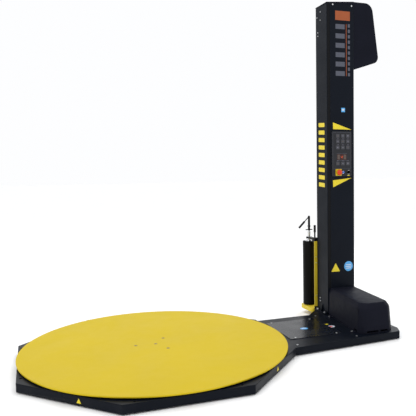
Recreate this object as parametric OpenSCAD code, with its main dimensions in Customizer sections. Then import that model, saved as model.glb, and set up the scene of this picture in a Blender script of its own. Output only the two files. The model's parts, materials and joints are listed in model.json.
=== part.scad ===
// Turntable pallet wrapper: an octagonal turntable base with a neck, a film mast at the
// neck's far side, and a film carriage that climbs the mast. Millimetres, +Z up.
// The origin is on the floor, on the turntable's axis. +X runs along the neck, and the
// film carriage is on the mast's +Y side.

/* [Turntable] */
// Diameter of the turntable plate
table_d = 1500; // [1300:10:1700]
// Thickness of the turntable plate
table_t = 8; // [6:1:12]
// Gap between the deck and the turntable plate
table_gap = 6; // [4:1:10]
// Radius of the circle of screws that holds the plate to its hub
hub_screw_r = 113; // [100:1:140]
// Head radius of a hub screw
hub_screw_head_r = 9; // [7:0.5:11]
// Outer radius of the ring sprocket's teeth
ring_r = 150; // [130:1:170]
// Number of teeth on the ring sprocket
ring_teeth = 48; // [36:1:60]
// Radius of the fixed centre spindle
spindle_r = 25; // [18:0.5:30]
// Wall of the bronze bush on the spindle
bush_t = 6; // [4:0.5:9]
// Radius of the circle on which the support rollers run
roller_ring_r = 560; // [480:5:640]
// Radius of a support roller
roller_r = 17; // [12:0.5:19]
// Width of a support roller
roller_w = 24; // [16:1:32]
// Radius of a support roller's axle
roller_axle_r = 5; // [4:0.5:7]

/* [Base] */
// Width of the octagonal base across its flats
base_w = 1486; // [1400:2:1900]
// Height of the rubber floor pads
pad_h = 6; // [4:1:12]
// Radius of a floor pad
pad_r = 28; // [20:1:40]
// Height of the skirt round the base
skirt_h = 40; // [38:1:60]
// Thickness of the skirt, ribs and neck walls
skirt_t = 5; // [3:0.5:8]
// Thickness of the floor pan
pan_t = 3; // [2:0.5:5]
// Thickness of the deck plate
deck_t = 4; // [3:0.5:6]
// Distance of an anchor hole from the edge of the deck
anchor_inset = 21; // [19:0.5:26]
// Half the distance between the two anchor holes of an edge
anchor_half = 250; // [200:5:280]
// Radius of an anchor hole
anchor_r = 7; // [5:0.5:9]

/* [Neck] */
// Distance from the turntable's axis to the neck's end
neck_end = 1485; // [1480:5:1600]
// Half width of the neck at its root on the near side
neck_near_root = 328; // [320:2:350]
// Half width of the neck at its end on the near side
neck_near_end = 275; // [265:1:300]
// Half width of the neck on the far side
neck_far = 275; // [260:1:300]
// Where the outrigger under the mast starts
outrigger_x = 1125; // [1100:5:1160]
// Length of the neck's cover plate
cover_l = 340; // [280:5:360]
// Half width of the neck's cover plate
cover_half = 185; // [160:1:200]
// Thickness of the neck's cover plate
cover_t = 3; // [2:0.5:4]

/* [Mast] */
// Distance from the turntable's axis to the mast's near face
mast_x = 1252; // [1240:1:1260]
// Distance of the mast's front face from the neck's middle
mast_y = 238; // [230:1:250]
// Width of the mast along the neck
mast_w = 208; // [190:1:220]
// Depth of the mast across the neck
mast_d = 150; // [145:1:170]
// Height of the mast's column above the floor
mast_h = 2145; // [1700:5:2600]
// Wall of the mast's column
mast_t = 4; // [3:0.5:5]
// Width of the carriage slot in the mast
slot_w = 60; // [50:1:80]
// Bottom of the carriage slot
slot_z = 110; // [100:1:130]
// Thickness of the mast's foot plate
foot_t = 10; // [8:1:14]
// How far the foot plate stands out beside the mast
foot_lip = 24; // [20:1:30]
// Thickness of the front cover
front_t = 2; // [1.5:0.5:3]
// Setback of the front cover from the mast's near corner
front_in = 24; // [18:1:30]

/* [Control panel] */
// Width of the control panel
panel_w = 150; // [146:1:160]
// Height of the control panel
panel_h = 302; // [290:1:380]
// Height of the panel's lower edge above the floor
panel_z = 994; // [850:1:1100]
// Thickness of the panel plate
panel_t = 6; // [4:0.5:10]
// Radius of the emergency stop's mushroom head
estop_r = 19; // [16:0.5:20]
// Travel of the emergency stop
estop_travel = 5; // [3:0.5:6]
// Radius of the start button's cap
start_r = 7; // [6:0.5:8]
// Travel of the start button
start_travel = 3; // [2:0.5:4]

/* [Hood] */
// How far the lift hood stands out behind the mast
hood_out = 196; // [170:1:220]
// Height of the hood's rear part
hood_h = 430; // [380:5:480]
// Wall of the hood and of the motor shroud
shell_t = 4; // [3:0.5:5]

/* [Motor shroud] */
// Distance from the turntable's axis to the shroud's side at its free end
shroud_x = 1192; // [1188:1:1205]
// Width of the shroud along the neck at its free end
shroud_w = 236; // [226:1:240]
// Distance of the shroud's end from the neck's middle
shroud_end = 256; // [246:1:258]
// Height of the shroud above the deck
shroud_h = 180; // [174:1:200]

/* [Film carriage] */
// Width of the carriage's back plate
back_w = 207; // [190:1:220]
// Height of the carriage's back plate above the deck at rest
back_rise = 23; // [20:1:30]
// Thickness of the back plate and of the tray's sheet
back_t = 4; // [3:0.5:5]
// Depth of the film tray
tray_d = 170; // [165:1:190]
// Height of the tray's rim
tray_h = 28; // [20:1:32]
// Radius of the brake roller
brake_r = 46; // [34:0.5:48]
// Length of the brake roller
brake_l = 467; // [380:1:620]
// Radius of the shafts through the brake roller and the mandrel
shaft_r = 8; // [6:0.5:10]
// Radius of the film mandrel
mandrel_r = 37; // [34:0.5:38]
// Length of the film mandrel
mandrel_l = 380; // [300:5:600]
// Radius of a guide wheel
wheel_r = 16; // [14:0.5:18]
// Width of a guide wheel
wheel_w = 12; // [9:1:14]
// Length of the brake lever
lever_l = 116; // [90:1:118]

/* [Clearances] */
// Clearance between pieces that pass each other
gap = 0.3; // [0.3:0.05:0.6]
// Radial clearance of a shaft in its bore
fit = 0.05; // [0.03:0.01:0.08]

/* [Hidden] */
$fn = 64;
eps = 0.5;

// Heights of the base's layers
frame_top = pad_h + skirt_h;
deck_top = frame_top + deck_t;
table_z = deck_top + table_gap;
table_top = table_z + table_t;
pan_top = pad_h + pan_t;
cover_x = table_d / 2 + 14;

// Plan of the base: an octagon, the neck and the outrigger
apothem = base_w / 2;
half_side = apothem * tan(22.5);
neck_root_x = apothem + half_side - neck_near_root;
end_cut = 34;
out_y = mast_y + mast_d + 2;
base_plan = [
    [-apothem, -half_side], [-half_side, -apothem], [half_side, -apothem],
    [neck_root_x, -neck_near_root], [neck_end - end_cut, -neck_near_end],
    [neck_end, -neck_near_end + 2 * end_cut], [neck_end, out_y - end_cut],
    [neck_end - end_cut / 2, out_y], [outrigger_x + 110, out_y],
    [outrigger_x, neck_far], [apothem, neck_far],
    [apothem, half_side], [half_side, apothem], [-half_side, apothem],
    [-apothem, half_side]];

// Normal to the left of the edge from a to b
function left_of(a, b) = let (d = b - a) [-d[1], d[0]] / norm(d);
// The outline moved inwards by d, mitred at its corners
function inset(pts, d) = [
    for (i = [0 : len(pts) - 1])
        let (p = pts[i],
             n1 = left_of(pts[(i + len(pts) - 1) % len(pts)], p),
             n2 = left_of(p, pts[(i + 1) % len(pts)]))
        p + d * (n1 + n2) / (1 + n1 * n2)];

// Distance from the axis to the octagon's edge at the angle a
function wall_at(a) = apothem / cos((a + 22.5) % 45 - 22.5);

// Places of the anchor holes, the rollers and the floor pads
anchor_y = apothem - anchor_inset;
side_anchors = [for (x = [-1, 1], y = [-1, 1]) [x * anchor_half, y * anchor_y]];
end_anchors = [for (y = [-1, 1]) [-anchor_y, y * anchor_half]];
roller_count = 6;
roller_angles = [for (i = [0 : roller_count - 1]) 30 + i * 60];
roller_z = table_z - gap - roller_r;
pad_places = concat([[0, 0]],
    [for (a = [0 : 45 : 315]) apothem * 0.86 * [cos(a), sin(a)]],
    [for (y = [-1, 1]) [neck_end - 110, y * 190]],
    [[neck_end - 100, out_y - 60], [apothem + 260, -200], [apothem + 260, 200]]);

// Turntable bearing and drive
hub_r = 55;
hub_screw_angles = [55, 175, 295];
hub_flange_r = hub_screw_r + 22;
hub_flange_t = 8;
deck_hole_r = ring_r + 36;
ring_t = 6;
ring_z = 33;
ring_top = ring_z + ring_t;
post_flange_r = 70;
post_flange_t = 8;
thrust_t = 3;
thrust_z = pan_top + post_flange_t;
hub_z = thrust_z + thrust_t + gap;
bush_r = spindle_r + fit;
drive_x = 1320;
drive_teeth = 12;
drive_r = ring_r * drive_teeth / ring_teeth;
drive_shaft_r = 12;
gearbox_w = 120;
gearbox_h = 96;
motor_r = 52;
motor_l = 150;
chain_w = 8;
chain_t = 7;

// Mast
mast_cx = mast_x + mast_w / 2;
mast_back = mast_y + mast_d;
foot_top = deck_top + foot_t;
slot_top = mast_h - 65;
front_z = foot_top + 12;
front_w = mast_w - front_in - 6;
belt_y = mast_y + 72;
belt_w = 20;
belt_t = 3;
pulley_r = 25;
pulley_w = 22;
idler_z = foot_top + 45;
lift_z = mast_h - 62;
lift_shaft_r = 8;
rail_t = 3;
rail_d = 20;
wheel_y = mast_back - mast_t - rail_t - 1 - wheel_r - gap;
rail_in = 2 * (wheel_r + gap);
rail_z = slot_z - 10;
foot_holes = [for (x = [-1, 1], y = [28, mast_d - 28])
    [mast_cx + x * (mast_w / 2 + foot_lip / 2), mast_y + y]];

// Screws in the mast's side, as [y, z]
side_screws = [[mast_y + 80, mast_h - 40], [mast_y + 127, mast_h - 68],
    [mast_y + 81, mast_h - 95], [mast_y + 114, mast_h - 172], [mast_y + 114, mast_h - 195],
    [mast_y + 105, slot_z + 35], [mast_y + 105, slot_z + 13]];

// Plan of the motor shroud, drawn in by d: its sides slant out from the mast to a free
// end with cut corners
shroud_back = mast_y - 4;
shroud_cut = 34;
shroud_near = mast_x + 4;
shroud_far = mast_x + mast_w + 2;
function shroud_plan(d) = [
    [shroud_x + shroud_cut + d, -shroud_end + d],
    [shroud_x + shroud_w - shroud_cut - d, -shroud_end + d],
    [shroud_x + shroud_w - d, -shroud_end + shroud_cut + d],
    [shroud_far - d / 4, shroud_back],
    [shroud_near + d / 2, shroud_back],
    [shroud_x + d, -shroud_end + shroud_cut + d]];

// Tabs that hold the shroud down, and the shroud's side next to them
shroud_tabs = [-186, 170];
tab_t = 4;
function shroud_side(y) = shroud_x + (shroud_near - shroud_x)
    * (y + shroud_end - shroud_cut) / (shroud_back + shroud_end - shroud_cut);

// Side view of the lift hood, with its rear corners rounded
function arc(cx, cz, r, a0, a1, n) = [
    for (i = [0 : n]) let (a = a0 + (a1 - a0) * i / n) [cx + r * cos(a), cz + r * sin(a)]];
hood_x = mast_x + mast_w;
hood_low = mast_h - hood_h;
hood_plan = concat(
    [[hood_x, hood_low]],
    arc(hood_x + hood_out - 44, hood_low + 93, 44, -72, 8, 8),
    arc(hood_x + hood_out - 104, mast_h - 40, 62, 8, 84, 8),
    [[hood_x, mast_h + 22]]);

// Control panel
panel_x = mast_x + 32;
panel_y = mast_y - front_t - panel_t;
cutout_in = 10;
cutout_w = panel_w - 2 * cutout_in;
cutout_z = panel_z + 6;
cutout_h = panel_h - 40;
control_z = panel_z + 26;
estop_x = panel_x + 49;
start_x = estop_x + 33;
switch_x = start_x + 43;
switch_r = 14;
stem_r = 8;
start_stem_r = 4;
bezel_h = 4;
window_t = 2;
window_in = 38;
window_w = panel_w - 2 * window_in;
window_z = panel_z + 110;
window_h = 40;

// Heights of the rows of keys above the panel's lower edge
key_rows = [74, 182, 223, 260];
key_w = 26;
key_h = 24;
key_step = 39;
key_in = 30;

// Film carriage
back_x = mast_x - 19;
back_z = deck_top + back_rise;
back_y = mast_back + gap + 4;
back_out = back_y + back_t;
tray_x = back_x - 22;
tray_y = back_out + 4;
tray_out = tray_y + tray_d;
tray_top = back_z - 13;
tray_w = 338;
roller_x = tray_x + 49;
roller_y = tray_out - 50;
mandrel_x = roller_x + 190;
mandrel_y = roller_y + 6;
arm_z = tray_top + 3 + brake_l + 14;
arm_t = 12;
back_h = arm_z - 6 - back_z;
knob_x = back_x + 17;
knob_y = back_out + 20;
cross_z = arm_z + arm_t + 52;
lever_z = cross_z + 96;
truck_z = back_z + 75;
truck_h = 340;
truck_w = mast_w - 76;
lift = slot_top - 42 - truck_z - truck_h;
axle_r = 6;
axle_low = truck_z + 30;
axle_high = truck_z + truck_h - 30;
clamp_z = truck_z + truck_h / 2;

// A rounded box seen along Z, made from its corner circles
module round_plate(w, d, h, r) {
    linear_extrude(h) {
        translate([r, 0]) square([w - 2 * r, d]);
        translate([0, r]) square([w, d - 2 * r]);
        for (x = [r, w - r], y = [r, d - r])
            translate([x, y]) circle(r);
    }
}

// A cylinder that lies along X from x0 to x1
module bar_x(x0, x1, y, z, r) {
    translate([x0, y, z]) rotate([0, 90, 0]) cylinder(h = x1 - x0, r = r);
}

// A cylinder that lies along Y from y0 to y1
module bar_y(y0, y1, x, z, r) {
    translate([x, y1, z]) rotate([90, 0, 0]) cylinder(h = y1 - y0, r = r);
}

// A toothed wheel with round gaps between its teeth
module sprocket(r, teeth, h) {
    difference() {
        cylinder(h = h, r = r, $fn = 128);
        for (i = [0 : teeth - 1])
            rotate(i * 360 / teeth) translate([r + 1.5, 0, -eps])
                cylinder(h = h + 2 * eps, r = 5.5, $fn = 24);
    }
}

// A hexagon bolt head on a washer, standing on z = 0
module hex_head(r, h) {
    cylinder(h = 1.5, r = r * 1.25);
    translate([0, 0, 1.5]) cylinder(h = h, r = r, $fn = 6);
}

// A round screw head with a hexagon socket, standing on z = 0
module socket_head(r, h) {
    difference() {
        cylinder(h = h, r = r, $fn = 32);
        translate([0, 0, h / 2]) cylinder(h = h, r = r * 0.5, $fn = 6);
    }
}

// ---- Base ----

module floor_pads() {
    color("dimgray")
        for (p = pad_places)
            translate([p[0], p[1], 0]) cylinder(h = pad_h, r = pad_r);
}

module base_frame() {
    rib_in = deck_hole_r + 6;
    rib_h = frame_top - pan_top - 2;
    color("#26282c") {
        difference() {
            translate([0, 0, pad_h]) linear_extrude(skirt_h) polygon(base_plan);
            translate([0, 0, pan_top]) linear_extrude(skirt_h) polygon(inset(base_plan, skirt_t));
            for (p = concat(side_anchors, end_anchors))
                translate([p[0], p[1], 0]) cylinder(h = frame_top, r = anchor_r, $fn = 32);
        }
        for (a = [60 : 60 : 300])
            rotate(a) translate([rib_in, -skirt_t / 2, pan_top])
                cube([wall_at(a) - 2 * skirt_t - rib_in, skirt_t, rib_h]);
        for (y = [-1, 1])
            translate([apothem - 120, y * (cover_half + 10) - skirt_t / 2, pan_top])
                cube([neck_end - apothem + 110, skirt_t, rib_h]);
    }
}

module deck_plate() {
    color("#2b2d31") difference() {
        translate([0, 0, frame_top]) linear_extrude(deck_t) polygon(base_plan);
        translate([0, 0, frame_top - eps]) cylinder(h = deck_t + 2 * eps, r = deck_hole_r, $fn = 128);
        for (a = roller_angles)
            rotate(a) translate([roller_ring_r - roller_w / 2 - 3, -roller_r - 3, frame_top - eps])
                cube([roller_w + 6, 2 * roller_r + 6, deck_t + 2 * eps]);
        for (p = concat(side_anchors, end_anchors))
            translate([p[0], p[1], frame_top - eps])
                cylinder(h = deck_t + 2 * eps, r = anchor_r, $fn = 32);
        translate([cover_x + 30, -cover_half + 35, frame_top - eps])
            cube([cover_l - 60, 2 * cover_half - 70, deck_t + 2 * eps]);
        translate([drive_x, 0, frame_top - eps])
            cylinder(h = deck_t + 2 * eps, r = drive_r + 10);
    }
}

module neck_cover() {
    color("#303338") translate([cover_x, -cover_half, deck_top])
        round_plate(cover_l, 2 * cover_half, cover_t, 6);
}

module deck_screws() {
    color("silver") {
        for (x = [cover_x + 34, cover_x + cover_l - 30], y = [-1, 1])
            translate([x, y * (cover_half - 14), deck_top + cover_t]) socket_head(6, 3);
        for (p = [[outrigger_x + 28, neck_far - 40], [neck_root_x + 30, -neck_near_root + 40],
                [outrigger_x + 30, -neck_near_end + 10], [neck_end - 30, -neck_near_end + 100]])
            translate([p[0], p[1], deck_top]) socket_head(6, 3);
    }
}

module centre_post() {
    color("gray") translate([0, 0, pan_top]) {
        cylinder(h = post_flange_t, r = post_flange_r);
        cylinder(h = table_z - pan_top - 2, r = spindle_r);
    }
}

module thrust_ring() {
    color("#a9834b") translate([0, 0, thrust_z]) difference() {
        cylinder(h = thrust_t, r = hub_r - 4);
        translate([0, 0, -eps]) cylinder(h = thrust_t + 2 * eps, r = spindle_r + fit);
    }
}

module roller_brackets() {
    ear_t = 4;
    ear_x = roller_w / 2 + gap + 0.7;
    color("#4a4d52") for (a = roller_angles)
        rotate(a) translate([roller_ring_r, 0, pan_top]) difference() {
            union() {
                for (s = [-1, 1])
                    translate([s * (ear_x + ear_t / 2) - ear_t / 2, -14, 0])
                        cube([ear_t, 28, frame_top - gap - pan_top]);
                translate([-ear_x - ear_t, -14, 0]) cube([2 * (ear_x + ear_t), 28, 3]);
            }
            bar_x(-30, 30, 0, roller_z - pan_top, roller_axle_r);
        }
}

module roller_axles() {
    half = roller_w / 2 + 7;
    color("silver") for (a = roller_angles)
        rotate(a) translate([roller_ring_r, 0, 0]) bar_x(-half, half, 0, roller_z, roller_axle_r);
}

module drive_gearmotor() {
    box_y = gearbox_w / 2;
    motor_z = deck_top + 62;
    color("#5c6067") difference() {
        union() {
            translate([drive_x - box_y, -box_y, deck_top]) cube([gearbox_w, gearbox_w, gearbox_h]);
            bar_y(-box_y - 20, -box_y, drive_x, motor_z, motor_r - 8);
            bar_y(-box_y - 20 - motor_l, -box_y - 20, drive_x, motor_z, motor_r);
            for (i = [0 : 6])
                bar_y(-box_y - 40 - i * 16, -box_y - 34 - i * 16, drive_x, motor_z, motor_r + 5);
            translate([drive_x - 34, -box_y - 120, motor_z]) cube([68, 70, motor_r + 22]);
        }
        translate([drive_x, 0, deck_top - eps]) cylinder(h = 60, r = drive_shaft_r + fit);
    }
}

module chain_outline(grow) {
    hull() {
        circle(ring_r + grow, $fn = 144);
        translate([drive_x, 0]) circle(drive_r + grow, $fn = 48);
    }
}

module drive_chain() {
    color("#6a6d72") translate([0, 0, ring_z - (chain_w - ring_t) / 2]) linear_extrude(chain_w)
        difference() {
            chain_outline(0.5 + chain_t);
            chain_outline(0.5);
        }
}

// The shroud's moulded body, drawn in by the wall on every side but its foot
module shroud_body(wall) {
    ridge = shroud_h - 32;
    hull() {
        linear_extrude(1) polygon(inset(shroud_plan(0), wall));
        translate([0, 0, ridge - wall]) linear_extrude(1)
            polygon(inset(shroud_plan(6), wall));
        translate([0, 0, shroud_h - 1 - wall]) linear_extrude(1)
            polygon(inset(shroud_plan(24), wall));
    }
}

module motor_shroud() {
    slot_h = 10;
    slot_up = 5;
    color("#26282d") translate([0, 0, deck_top]) difference() {
        union() {
            shroud_body(0);
            for (y = shroud_tabs)
                translate([shroud_side(y) - 40, y - 15, 0]) cube([54, 30, tab_t]);
        }
        translate([0, 0, -eps]) shroud_body(shell_t);
        for (x = [[42, 78], [135, 51]])
            translate([shroud_x + x[0], -shroud_end - 20, slot_up]) cube([x[1], 60, slot_h]);
        translate([shroud_x - 20, -shroud_end + 51, slot_up]) cube([60, 40, slot_h]);
        for (y = [-120 : 60 : 120])
            translate([shroud_x + shroud_w - 10, y, slot_up + 30]) cube([70, 36, 8]);
    }
}

module cable_gland() {
    color("#1c1d20") difference() {
        union() {
            bar_x(neck_end, neck_end + 5, 60, pad_h + 22, 15);
            bar_x(neck_end + 5, neck_end + 24, 60, pad_h + 22, 10);
        }
        bar_x(neck_end - eps, neck_end + 25, 60, pad_h + 22, 5);
    }
}

// ---- Mast ----

module mast_foot() {
    rib = 18;
    color("#2b2d31") {
        translate([mast_x - foot_lip, mast_y, deck_top])
            round_plate(mast_w + 2 * foot_lip, mast_d, foot_t, 5);
        for (s = [-1, 1])
            translate([mast_cx + s * mast_w / 2, mast_y + mast_d / 2 + 3, foot_top])
                rotate([90, 0, 0]) linear_extrude(6)
                    polygon([[0, 0], [s * rib, 0], [0, 3 * rib]]);
    }
}

module mast_foot_bolts() {
    color("silver") for (p = foot_holes)
        translate([p[0], p[1], foot_top]) hex_head(7, 6);
}

module mast_column() {
    inner_w = mast_w - 2 * mast_t;
    inner_d = mast_d - 2 * mast_t;
    column_h = mast_h - foot_top;
    color("#33363c") difference() {
        translate([mast_x, mast_y, foot_top]) cube([mast_w, mast_d, column_h]);
        translate([mast_x + mast_t, mast_y + mast_t, foot_top - eps])
            cube([inner_w, inner_d, column_h + 2 * eps]);
        translate([mast_cx - slot_w / 2, mast_back - 2 * mast_t, slot_z])
            cube([slot_w, 3 * mast_t, slot_top - slot_z]);
        bar_x(mast_x + mast_w - 2 * mast_t, mast_x + mast_w + eps, belt_y, lift_z, 16);
        translate([panel_x + cutout_in, mast_y - eps, cutout_z])
            cube([cutout_w, mast_t + 2 * eps, cutout_h]);
    }
}

module mast_front_cover() {
    color("#2f3238") difference() {
        translate([mast_x + front_in, mast_y - front_t, front_z])
            cube([front_w, front_t, mast_h - front_z - 2]);
        translate([panel_x + cutout_in, mast_y - front_t - eps, cutout_z])
            cube([cutout_w, front_t + 2 * eps, cutout_h]);
    }
}

module cover_screws() {
    color("silver") {
        for (y = shroud_tabs)
            translate([shroud_side(y) - 26, y, deck_top + tab_t]) socket_head(7, 4);
        for (x = [front_in + 20, front_in + front_w - 14])
            translate([mast_x + x, mast_y - front_t, mast_h - 10]) rotate([90, 0, 0])
                socket_head(5, 3);
        for (p = side_screws)
            translate([mast_x, p[0], p[1]]) rotate([0, -90, 0]) socket_head(4, 3);
    }
}

module guide_rails() {
    rail_len = slot_top + 12 - rail_z;
    color("#8a8d92") for (s = [-1, 1])
        translate([mast_cx, wheel_y, rail_z]) mirror([s < 0 ? 1 : 0, 0, 0])
            translate([mast_w / 2 - mast_t - rail_d, 0, 0]) {
                for (y = [-rail_in / 2 - rail_t, rail_in / 2])
                    translate([0, y, 0]) cube([rail_d, rail_t, rail_len]);
                translate([rail_d - rail_t, -rail_in / 2 - rail_t, 0])
                    cube([rail_t, rail_in + 2 * rail_t, rail_len]);
            }
}

module lift_gearmotor() {
    x0 = mast_x + mast_w;
    color("#5c6067") difference() {
        union() {
            translate([x0, belt_y - 52, lift_z - 56]) cube([92, 104, 100]);
            translate([x0 + 56, belt_y, lift_z - 56 - 30]) cylinder(h = 30, r = 34);
            translate([x0 + 56, belt_y, lift_z - 56 - 210]) cylinder(h = 180, r = 46);
            for (i = [0 : 7])
                translate([x0 + 56, belt_y, lift_z - 120 - i * 18]) cylinder(h = 6, r = 50);
            translate([x0 + 90, belt_y - 34, lift_z - 200]) cube([38, 68, 76]);
        }
        bar_x(x0 - eps, x0 + 60, belt_y, lift_z, lift_shaft_r + fit);
    }
}

module lift_bearing_block() {
    x0 = mast_x + mast_t;
    color("#5c6067") difference() {
        translate([x0, belt_y - 22, lift_z - 22]) cube([22, 44, 44]);
        bar_x(x0 - eps, x0 + 23, belt_y, lift_z, lift_shaft_r + fit);
    }
}

module lift_hood() {
    y0 = mast_y + 6;
    depth = mast_d - 12;
    inner = inset(hood_plan, shell_t);
    color("#2d2f36") {
        difference() {
            translate([0, y0 + depth, 0]) rotate([90, 0, 0]) linear_extrude(depth)
                polygon(hood_plan);
            translate([0, y0 + depth - shell_t, 0]) rotate([90, 0, 0])
                linear_extrude(depth - 2 * shell_t) polygon(inner);
            translate([hood_x - eps, y0 + shell_t, hood_low + 20])
                cube([shell_t + 2 * eps, depth - 2 * shell_t, hood_h - 28]);
        }
        translate([0, mast_back, 0]) rotate([90, 0, 0]) linear_extrude(mast_d)
            polygon([[mast_x - 2, mast_h], [hood_x, mast_h], [hood_x, mast_h + 22],
                [mast_x, mast_h + 5], [mast_x - 2, mast_h + 3]]);
    }
}

module belt_outline(r) {
    hull() for (z = [idler_z, lift_z])
        translate([belt_y, z]) circle(r, $fn = 64);
}

module lift_belt() {
    color("#1f2023") translate([mast_cx - belt_w / 2, 0, 0])
        rotate([90, 0, 90]) linear_extrude(belt_w) difference() {
            belt_outline(pulley_r + gap + belt_t);
            belt_outline(pulley_r + gap);
        }
}

module idler_bracket() {
    ear_in = pulley_w / 2 + 1;
    ear_t = 6;
    color("#4a4d52") difference() {
        union() {
            for (s = [-1, 1])
                translate([mast_cx + s * (ear_in + ear_t / 2) - ear_t / 2, belt_y - 15, foot_top])
                    cube([ear_t, 30, idler_z - foot_top + 15]);
            translate([mast_cx - ear_in - ear_t, belt_y - 15, foot_top])
                cube([2 * (ear_in + ear_t), 30, 5]);
        }
        bar_x(mast_cx - 30, mast_cx + 30, belt_y, idler_z, lift_shaft_r + fit);
    }
}

// ---- Control panel ----

module control_panel() {
    color("#4b4d55") difference() {
        translate([panel_x, panel_y + panel_t, panel_z]) rotate([90, 0, 0])
            round_plate(panel_w, panel_h, panel_t, 6);
        for (x = [estop_x, start_x, switch_x])
            bar_y(panel_y - eps, panel_y + panel_t + eps, x, control_z, stem_r + 1);
        translate([panel_x + window_in, panel_y - eps, window_z])
            cube([window_w, window_t + 2 * eps, window_h]);
    }
}

module keypad() {
    color("#8b8d96") for (z = key_rows, c = [0 : 2])
        translate([panel_x + key_in + c * key_step, panel_y, panel_z + z])
            rotate([90, 0, 0]) round_plate(key_w, key_h, 2, 3);
}

module display_window() {
    color("#4a1512") translate([panel_x + window_in + gap, panel_y + eps, window_z + gap])
        cube([window_w - 2 * gap, window_t, window_h - 2 * gap]);
}

module estop_plate() {
    size = 46;
    color("gold") difference() {
        translate([estop_x - size / 2, panel_y, control_z - size / 2]) rotate([90, 0, 0])
            round_plate(size, size, 2, 4);
        bar_y(panel_y - 3, panel_y + 1, estop_x, control_z, stem_r + 4);
    }
}

module bezel(x, r, bore) {
    difference() {
        union() {
            bar_y(panel_y - bezel_h, panel_y, x, control_z, r);
            bar_y(panel_y, panel_y + panel_t + front_t, x, control_z, stem_r + 1);
        }
        bar_y(panel_y - bezel_h - eps, panel_y + panel_t + 20, x, control_z, bore);
    }
}

module button_bezels() {
    color("silver") {
        bezel(estop_x, stem_r + 3.8, stem_r - 1 + fit);
        bezel(start_x, start_r + 2.5, start_stem_r + fit);
        bezel(switch_x, switch_r, start_stem_r + fit);
    }
}

module control_unit() {
    depth = 28;
    y0 = mast_y - front_t;
    color("#6f7278") {
        translate([panel_x + 20, y0, panel_z + 100]) cube([panel_w - 40, depth, panel_h - 142]);
        for (x = [estop_x, start_x, switch_x])
            difference() {
                translate([x - 13, y0, control_z - 16]) cube([26, depth + 4, 34]);
                bar_y(y0 - eps, y0 + 24, x, control_z, stem_r + 1);
            }
    }
}

module estop_button() {
    stem_out = panel_y - bezel_h - estop_travel;
    color("red") {
        bar_y(stem_out - 1, panel_y + 8, estop_x, control_z, stem_r - 1);
        translate([estop_x, stem_out - 1, control_z]) rotate([90, 0, 0]) rotate_extrude()
            polygon(concat([[0, 0], [estop_r - 5, 0], [estop_r, 5]],
                [for (a = [0 : 15 : 90]) [estop_r * cos(a), 5 + 8 * sin(a)]]));
    }
}

module start_button() {
    stem_out = panel_y - bezel_h - start_travel;
    color("#3d62b8") {
        bar_y(stem_out - gap, panel_y + 8, start_x, control_z, start_stem_r);
        bar_y(stem_out - 3 - gap, stem_out - gap, start_x, control_z, start_r);
    }
}

module main_switch() {
    face = panel_y - bezel_h - gap;
    color("#17181a") {
        bar_y(face, panel_y + 8, switch_x, control_z, start_stem_r);
        bar_y(face - 4, face, switch_x, control_z, switch_r - 2);
        translate([switch_x - 4, face - 14, control_z - switch_r + 3])
            cube([8, 11, 2 * switch_r - 6]);
    }
}

// ---- Turntable ----

module turntable_plate() {
    color("#e0c235") difference() {
        translate([0, 0, table_z]) cylinder(h = table_t, r = table_d / 2, $fn = 256);
        for (a = hub_screw_angles)
            rotate(a) translate([hub_screw_r, 0, table_z - eps])
                cylinder(h = table_t + 2 * eps, r = hub_screw_head_r + 1, $fn = 32);
        translate([0, 0, table_z - eps])
            cylinder(h = table_t + 2 * eps, r = hub_screw_head_r + 1, $fn = 32);
    }
}

module table_hub() {
    bore = bush_r + bush_t;
    color("#4a4d52") difference() {
        union() {
            translate([0, 0, hub_z]) cylinder(h = table_z - hub_z, r = hub_r);
            translate([0, 0, ring_top]) cylinder(h = table_z - ring_top, r = hub_r + 20);
            translate([0, 0, table_z - hub_flange_t])
                cylinder(h = hub_flange_t, r = hub_flange_r, $fn = 96);
        }
        translate([0, 0, hub_z - eps]) cylinder(h = table_z - hub_z - 1, r = bore);
    }
}

module hub_bush() {
    color("#a9834b") translate([0, 0, hub_z]) difference() {
        cylinder(h = table_z - hub_z - 4, r = bush_r + bush_t);
        translate([0, 0, -eps]) cylinder(h = table_z, r = bush_r);
    }
}

module ring_sprocket() {
    color("#7a7d82") translate([0, 0, ring_z]) difference() {
        sprocket(ring_r, ring_teeth, ring_t);
        translate([0, 0, -eps]) cylinder(h = ring_t + 2 * eps, r = hub_r);
        for (a = [0 : 60 : 300])
            rotate(a) translate([(ring_r + hub_r) / 2, 0, -eps])
                cylinder(h = ring_t + 2 * eps, r = 26);
    }
}

module hub_screws() {
    color("#3b3d40") {
        for (a = hub_screw_angles)
            rotate(a) translate([hub_screw_r, 0, table_z]) socket_head(hub_screw_head_r, table_t);
        translate([0, 0, table_z]) socket_head(hub_screw_head_r, table_t);
    }
}

module support_roller(i) {
    color("#3b3d40") rotate(roller_angles[i]) translate([roller_ring_r, 0, roller_z])
        rotate([0, 90, 0]) difference() {
            translate([0, 0, -roller_w / 2]) cylinder(h = roller_w, r = roller_r);
            translate([0, 0, -roller_w]) cylinder(h = 2 * roller_w, r = roller_axle_r + fit);
        }
}

module drive_sprocket() {
    color("#7a7d82") translate([drive_x, 0, 0]) {
        translate([0, 0, ring_z]) sprocket(drive_r, drive_teeth, ring_t);
        translate([0, 0, ring_z - 6]) cylinder(h = deck_top + 50 - ring_z + 6, r = drive_shaft_r);
        translate([0, 0, ring_top]) cylinder(h = 4, r = drive_r - 12);
    }
}

// ---- Lift ----

module pulley(x0, x1, z) {
    difference() {
        bar_x(x0, x1, belt_y, z, lift_shaft_r);
        bar_x(x0 - eps, x0 + 2, belt_y, z, 2);
    }
    bar_x(mast_cx - pulley_w / 2, mast_cx + pulley_w / 2, belt_y, z, pulley_r);
}

module lift_pulley() {
    color("#8a8d92") pulley(mast_x + mast_t + 2, mast_x + mast_w + 50, lift_z);
}

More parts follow.
